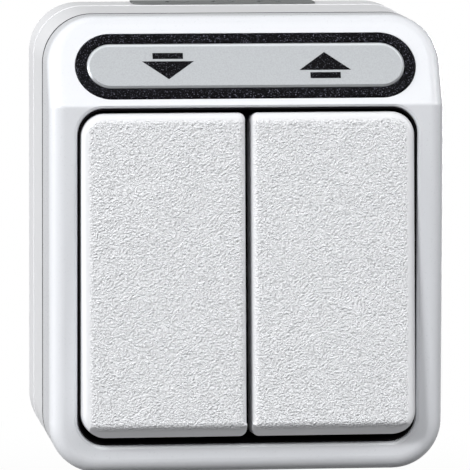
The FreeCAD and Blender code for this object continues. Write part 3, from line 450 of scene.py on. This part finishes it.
class SWITCH_OT_rockers(bpy.types.Operator):
    """Spark-eroded grain of the rocker faces, with a smooth rim"""
    bl_idname = "switch.rockers"
    bl_label = "Rockers"

    def execute(self, context):
        look = context.scene.switch_moulding
        polish, grain_dullness = 0.33, 0.22
        low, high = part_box("rocker_right")
        low = low + Vector((look.inner_rim, 0.0, look.rocker_bevel))
        high = high - Vector((look.outer_rim, 0.0, look.top_rim))
        material, tree, shader, place = start_material("rocker_white", IOR=1.50)
        folded = put(tree, "ShaderNodeVectorMath", {0: place}, operation="ABSOLUTE").outputs[0]
        parts = put(tree, "ShaderNodeSeparateXYZ", {0: place}).outputs
        side = put(tree, "ShaderNodeSeparateXYZ", {0: folded}).outputs
        mirrored = put(tree, "ShaderNodeCombineXYZ", {0: side[0], 1: parts[1], 2: parts[2]}).outputs[0]
        # One field has the small corners of the inner side. The other reaches across the middle of
        # the switch, so only its outer corners count. The grain is where both are.
        fields = []
        for start, radius in ((low, look.inner_corner),
                              (Vector((-high[0], low[1], low[2])), look.outer_corner)):
            fields.append(use(tree, "panel", {
                "Vector": mirrored, "Centre": (start + high) / 2, "Half Size": (high - start) / 2,
                "Radius": radius, "Margin": 0.0, "Softness": look.grain_fade})["Mask"])
        mask = calc(tree, "MULTIPLY", *fields)
        grain = use(tree, "grain", {"Vector": place, "Size": look.fleck_size, "Mask": mask})
        # Hollow and peak tones are painted shade and painted light of the grain's relief, over its bump.
        # The smooth rim takes the hollow tone.
        hollow, peak = (rgba(look.rocker_white, share) for share in ROCKER_FLECK_SHADING)
        flow = use(tree, "flow", {"Vector": place, "Colour": hollow, "Amount": 0.02,
                                  "Roughness": polish})
        face = blend_colour(tree, mask, flow["Colour"], blend_colour(tree, grain["Fleck"], hollow, peak))
        rough = calc(tree, "ADD", flow["Roughness"], calc(tree, "MULTIPLY", mask, grain_dullness))
        finish_shader(tree, shader, face, rough, grain["Height"], look.fleck_height)
        coat(["rocker_left", "rocker_right"], material)
        return {"FINISHED"}


class SWITCH_OT_label(bpy.types.Operator):
    """Grained black ring and silver plate of the label field"""
    bl_idname = "switch.label"
    bl_label = "Label field"

    def execute(self, context):
        look = context.scene.switch_label
        # The specks of the ring are painted glints on its grain.
        coat(["label_frame"], speckled("ring_black", look.ring_black, look.speck_size, RING_GLINTS))

        low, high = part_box("label_plate")
        material, tree, shader, place = start_material("plate_silver", IOR=1.48, Metallic=0.25)
        half = (high - low) / 2
        inner = use(tree, "panel", {"Vector": place, "Centre": (low + high) / 2, "Half Size": half,
                                    "Radius": half[2], "Margin": look.plate_highlight_width,
                                    "Softness": look.highlight_fade})["Mask"]
        flow = use(tree, "flow", {"Vector": place, "Colour": rgba(look.plate_silver), "Amount": 0.04,
                                  "Roughness": 0.36})
        grain = use(tree, "grain", {"Vector": place, "Size": look.speck_size, "Mask": 1.0})
        hollow, peak = (rgba(look.plate_silver, share) for share in PLATE_FLECKS)
        matt = blend_colour(tree, grain["Fleck"], hollow, peak)
        # The band round the plate is a painted edge highlight, lighter than the plate by the rim share.
        tone = blend_colour(tree, inner, rgba(look.plate_silver, RIM_HIGHLIGHT_SHARE), matt)
        finish_shader(tree, shader, tone, flow["Roughness"], flow["Height"], height=0.000003)
        coat(["label_plate"], material)
        return {"FINISHED"}


def outline_points(corners, per_side):
    """Closed outline with the same number of points on each side of a polygon.

    Point j of side i lies j / per_side of the way from corner i to the next one.
    """
    corners = np.asarray(corners, dtype=float)
    share = np.arange(per_side) / per_side
    following = np.roll(corners, -1, axis=0)
    points = corners[:, None, :] + share[None, :, None] * (following - corners)[:, None, :]
    return points.reshape(-1, 2)


def print_piece(corners, height, per_side=8):
    """A thin closed print with a soft upper edge, as points and faces.

    Row k of the grid is the outline, shrunk towards its middle by the share in shrink and lifted by
    the share of the height in lift, so it closes to a point on both sides.
    """
    points = outline_points(corners, per_side)
    middle = points.mean(axis=0)
    shrink = np.array([0.0, 1.0, 1.0, 0.985, 0.0])[:, None, None]
    lift = np.array([0.0, 0.0, 0.7, 1.0, 1.0])
    flat = middle + shrink * (points - middle)
    rows, count = flat.shape[:2]
    raised = np.broadcast_to((lift * height)[:, None, None], (rows, count, 1))
    grid = np.concatenate([flat, raised], axis=2).reshape(-1, 3)
    row, column = np.meshgrid(np.arange(rows - 1), np.arange(count), indexing="ij")
    start, after = row * count + column, row * count + (column + 1) % count
    faces = np.stack([start, after, after + count, start + count], axis=2).reshape(-1, 4)
    return grid, faces


class SWITCH_OT_arrows(bpy.types.Operator):
    """Down and up arrows printed on the label plate"""
    bl_idname = "switch.arrows"
    bl_label = "Printed arrows"

    def execute(self, context):
        look = context.scene.switch_label
        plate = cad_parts["label_plate"]
        low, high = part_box("label_plate")
        up = np.array([0.0, math.sin(look.slope), math.cos(look.slope)])
        out = np.array([0.0, -math.cos(look.slope), math.sin(look.slope)])
        across = np.array([1.0, 0.0, 0.0])
        corners = np.empty(len(plate.data.vertices) * 3)
        plate.data.vertices.foreach_get("co", corners)
        corners = corners.reshape(-1, 3)
        face = (corners @ out).max()
        along = corners @ up
        middle = (along.max() + along.min()) / 2 - look.arrow_drop
        # The specks of the print are painted glints on its grain.
        ink = speckled("arrow_ink", look.ink, look.speck_size, INK_GLINTS)
        half_total, half_head = look.arrow_height / 2, look.head_width / 2
        half_bar = look.bar_width / 2
        shapes = {
            "head": [(-half_head, look.head_height - half_total), (0.0, -half_total),
                     (half_head, look.head_height - half_total)],
            "bar": [(-half_bar, half_total - look.bar_height), (half_bar, half_total - look.bar_height),
                    (half_bar, half_total), (-half_bar, half_total)],
        }
        for word, place, turn in (("down", look.down_place, 1.0), ("up", look.up_place, -1.0)):
            for part, shape in shapes.items():
                turned = np.array(shape) * turn
                grid, faces = print_piece(turned, look.ink_height)
                spot = (grid[:, :1] + place) * across + (grid[:, 1:2] + middle) * up
                spot = spot + (grid[:, 2:] + face) * out
                mesh = bpy.data.meshes.new("arrow_%s_%s" % (word, part))
                mesh.from_pydata(spot.tolist(), [], faces.tolist())
                piece = bpy.data.objects.new(mesh.name, mesh)
                context.scene.collection.objects.link(piece)
                merge_poles(mesh)
                mesh.materials.append(ink)
                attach(piece, "box")
        return {"FINISHED"}


def merge_poles(mesh):
    """Joins the points that fall together at the poles, and turns all faces outwards."""
    work = bmesh.new()
    work.from_mesh(mesh)
    bmesh.ops.remove_doubles(work, verts=work.verts, dist=1e-7)
    bmesh.ops.recalc_face_normals(work, faces=work.faces)
    work.to_mesh(mesh)
    work.free()
    mesh.update()


class SWITCH_OT_seals(bpy.types.Operator):
    """Soft grey and black parts: cable entries, sealing ring and membrane"""
    bl_idname = "switch.seals"
    bl_label = "Seals"

    def execute(self, context):
        look = context.scene.switch_inside
        coat(["top_cable_insert", "bottom_cable_insert"],
             moulded("entry_grey", look.entry_grey, roughness=0.62, amount=0.12, wave=0.00002))
        coat(["cover_gasket"], moulded("gasket_grey", look.gasket_grey, roughness=0.7, amount=0.2,
                                       wave=0.00002, Specular_IOR_Level=0.1))
        coat(["rocker_seal"], moulded("seal_black", look.seal_black, roughness=0.8, amount=0.3,
                                      wave=0.00002, Specular_IOR_Level=0.05))
        return {"FINISHED"}


class SWITCH_OT_insert(bpy.types.Operator):
    """Resin, plastic and metal of the switch insert"""
    bl_idname = "switch.insert"
    bl_label = "Switch insert"

    def execute(self, context):
        look = context.scene.switch_inside
        coat(["mechanism_housing", "mechanism_lid"],
             moulded("resin_grey", look.resin_grey, roughness=0.48, amount=0.08, wave=0.00001))
        coat(["toggle_left", "toggle_right", "plunger_left", "plunger_right"],
             moulded("natural_plastic", look.natural, roughness=0.4, amount=0.05))
        coat(["interlock_slider"],
             moulded("signal_red", look.signal_red, roughness=0.38, amount=0.08))
        coat(["support_plate"], sheet_metal("zinc_sheet", look.zinc, roughness=0.34))
        coat(["cover_screws", "plate_screws", "lid_screws", "terminal_screws"],
             sheet_metal("zinc_screw", look.zinc, roughness=0.28))
        coat(["plunger_spring_left", "plunger_spring_right"],
             sheet_metal("spring_wire", [WIRE_SHARE * part for part in look.zinc], roughness=0.3))
        coat(["contact_lever_left", "contact_lever_right", "common_terminal", "down_terminal",
              "up_terminal", "earth_terminal"],
             sheet_metal("contact_brass", look.brass, roughness=0.3))
        return {"FINISHED"}


def backdrop_grid(width, back, front, floor, height, radius, arc_points=17, across_points=9):
    """Floor that turns up into a backdrop: a profile carried across the width.

    The profile runs back along the floor, turns a quarter circle of the given radius, with y as
    back - radius + radius sin t and z as floor + radius - radius cos t, and rises.
    """
    turn = np.linspace(0.0, math.pi / 2, arc_points)
    arc_y = back - radius + radius * np.sin(turn)
    arc_z = floor + radius - radius * np.cos(turn)
    y = np.concatenate([[front], arc_y, [back]])
    z = np.concatenate([[floor], arc_z, [floor + height]])
    x = np.linspace(-width / 2, width / 2, across_points)
    grid = np.stack([np.broadcast_to(x[None, :], (len(y), len(x))),
                     np.broadcast_to(y[:, None], (len(y), len(x))),
                     np.broadcast_to(z[:, None], (len(y), len(x)))], axis=2)
    row, column = np.meshgrid(np.arange(len(y) - 1), np.arange(len(x) - 1), indexing="ij")
    start = row * len(x) + column
    faces = np.stack([start, start + 1, start + 1 + len(x), start + len(x)], axis=2)
    return grid.reshape(-1, 3), faces.reshape(-1, 4)


def soft_box(scene, name, watts, size, spot):
    """A square lamp at spot, turned towards the origin, the middle of the switch's back."""
    lamp = bpy.data.lights.new(name, "AREA")
    lamp.shape = "SQUARE"
    lamp.size = size
    lamp.energy = watts
    body = bpy.data.objects.new(name, lamp)
    body.location = spot
    body.rotation_mode = "QUATERNION"
    body.rotation_quaternion = (-Vector(spot)).to_track_quat("-Z", "Y")
    scene.collection.objects.link(body)


def studio_white(look):
    """Matt floor that shows as plain white.

    The camera, and glass, see full white past fade_end from the switch. Within fade_start they see
    fade_level of it, with the lit floor for the rest. Reflections see mirror_share of that white.
    """
    fade_start, fade_end, fade_level = 0.12, 0.42, 0.85
    mirror_share = 0.3
    material, tree, shader, place = start_material("studio_white")
    flow = use(tree, "flow", {"Vector": place, "Colour": rgba(look.floor_white), "Amount": 0.01,
                              "Roughness": 0.8})
    tree.links.new(flow["Colour"], shader.inputs["Base Color"])
    white = put(tree, "ShaderNodeEmission", {"Color": (1, 1, 1, 1), "Strength": 1.0})
    path = tree.nodes.new("ShaderNodeLightPath")
    away = put(tree, "ShaderNodeVectorMath", {0: place}, operation="LENGTH").outputs["Value"]
    clear = calc(tree, "MAXIMUM", path.outputs["Is Camera Ray"], path.outputs["Is Transmission Ray"])
    direct = calc(tree, "MULTIPLY", clear, ramp(tree, away, fade_start, fade_end, fade_level, 1.0))
    mirrored = calc(tree, "MULTIPLY", path.outputs["Is Glossy Ray"], mirror_share)
    seen = calc(tree, "MAXIMUM", direct, mirrored)
    both = put(tree, "ShaderNodeMixShader", {0: seen, 1: shader.outputs[0], 2: white.outputs[0]})
    tree.links.new(both.outputs[0], tree.nodes["Material Output"].inputs[0])
    return material


def studio_world(look):
    """World that lights evenly from above and is seen as white.

    The light rises with the height of the direction, from sky_bottom to sky_top. Reflections see
    the white dimmed towards the ground, down to dim_level.
    """
    sky_start, sky_end = -0.1, 0.9
    dim_start, dim_end, dim_level = -0.5, 0.4, 0.45
    world = bpy.data.worlds.new("studio_light")
    world.use_nodes = True
    tree = world.node_tree
    path = tree.nodes.new("ShaderNodeLightPath")
    even = tree.nodes["Background"]
    even.inputs["Color"].default_value = (0.97, 0.98, 1.0, 1.0)
    direction = tree.nodes.new("ShaderNodeTexCoord").outputs["Generated"]
    height = put(tree, "ShaderNodeSeparateXYZ", {0: direction}).outputs[2]
    tree.links.new(ramp(tree, height, sky_start, sky_end, look.sky_bottom, look.sky_top),
                   even.inputs["Strength"])
    white = put(tree, "ShaderNodeBackground", {"Color": (1, 1, 1, 1), "Strength": 1.0})
    dim = ramp(tree, height, dim_start, dim_end, dim_level, 1.0)
    clear = calc(tree, "MAXIMUM", path.outputs["Is Camera Ray"], path.outputs["Is Transmission Ray"])
    seen = calc(tree, "MAXIMUM", clear, calc(tree, "MULTIPLY", path.outputs["Is Glossy Ray"], dim))
    both = put(tree, "ShaderNodeMixShader", {0: seen, 1: even.outputs[0], 2: white.outputs[0]})
    tree.links.new(both.outputs[0], tree.nodes["World Output"].inputs[0])
    return world


def photo_camera(look):
    """Camera at distance from aim, in the direction that azimuth and elevation give.

    With azimuth a and elevation e that direction is (sin a cos e, -cos a cos e, sin e). The lens is
    pixels_per_radian times the sensor's width over the picture's width in pixels.
    """
    data = bpy.data.cameras.new("camera")
    data.sensor_width = 36.0
    data.lens = look.pixels_per_radian * data.sensor_width / IMAGE_SIZE
    data.dof.use_dof = False
    data.clip_start = 0.01
    data.clip_end = 50.0
    camera = bpy.data.objects.new("camera", data)
    back = Vector((math.sin(look.azimuth) * math.cos(look.elevation),
                   -math.cos(look.azimuth) * math.cos(look.elevation), math.sin(look.elevation)))
    camera.location = Vector(look.aim) + look.distance * back
    camera.rotation_mode = "QUATERNION"
    camera.rotation_quaternion = ((-back).to_track_quat("-Z", "Y")
                                  @ Quaternion((0.0, 0.0, 1.0), look.roll))
    return camera


class SWITCH_OT_studio(bpy.types.Operator):
    """Pale floor and backdrop, soft lamps and the camera"""
    bl_idname = "switch.studio"
    bl_label = "Studio"

    def execute(self, context):
        look = context.scene.switch_studio
        scene = context.scene
        grid, faces = backdrop_grid(width=6.0, back=2.2, front=-3.0, height=3.0, radius=0.6,
                                    floor=cad_low[2] - look.floor_drop)
        mesh = bpy.data.meshes.new("studio_floor")
        mesh.from_pydata(grid.tolist(), [], faces.tolist())
        mesh.polygons.foreach_set("use_smooth", np.ones(len(mesh.polygons), dtype=bool))
        mesh.materials.append(studio_white(look))
        floor = bpy.data.objects.new("studio_floor", mesh)
        scene.collection.objects.link(floor)

        scene.world = studio_world(look)
        for name, watts, size, spot in LAMPS:
            soft_box(scene, name, getattr(look, watts), size, spot)
        camera = photo_camera(look)
        scene.collection.objects.link(camera)
        scene.camera = camera
        scene.view_settings.view_transform = "Standard"
        return {"FINISHED"}


class SWITCH_PT_panel(bpy.types.Panel):
    """Steps that finish the shutter switch"""
    bl_label = "Shutter Switch"
    bl_idname = "SWITCH_PT_panel"
    bl_space_type = "VIEW_3D"
    bl_region_type = "UI"
    bl_category = "Shutter Switch"

    def draw(self, context):
        scene = context.scene
        for group in (scene.switch_moulding, scene.switch_label, scene.switch_inside,
                      scene.switch_studio):
            box = self.layout.box()
            for name in group.bl_rna.properties.keys():
                if name not in ("rna_type", "name"):
                    box.prop(group, name)
        for step in STEPS:
            self.layout.operator(step.bl_idname)


GROUPS = {"switch_moulding": SWITCH_PG_moulding, "switch_label": SWITCH_PG_label,
          "switch_inside": SWITCH_PG_inside, "switch_studio": SWITCH_PG_studio}
STEPS = (SWITCH_OT_cover, SWITCH_OT_rockers, SWITCH_OT_label, SWITCH_OT_arrows, SWITCH_OT_seals,
         SWITCH_OT_insert, SWITCH_OT_studio)


def register():
    for cls in (*GROUPS.values(), *STEPS, SWITCH_PT_panel):
        bpy.utils.register_class(cls)
    for name, cls in GROUPS.items():
        setattr(bpy.types.Scene, name, PointerProperty(type=cls))


def unregister():
    for name in GROUPS:
        delattr(bpy.types.Scene, name)
    for cls in (SWITCH_PT_panel, *reversed(STEPS), *GROUPS.values()):
        bpy.utils.unregister_class(cls)


def main():
    """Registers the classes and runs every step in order."""
    register()
    for step in STEPS:
        family, name = step.bl_idname.split(".")
        getattr(getattr(bpy.ops, family), name)()


if __name__ == "__main__":
    main()
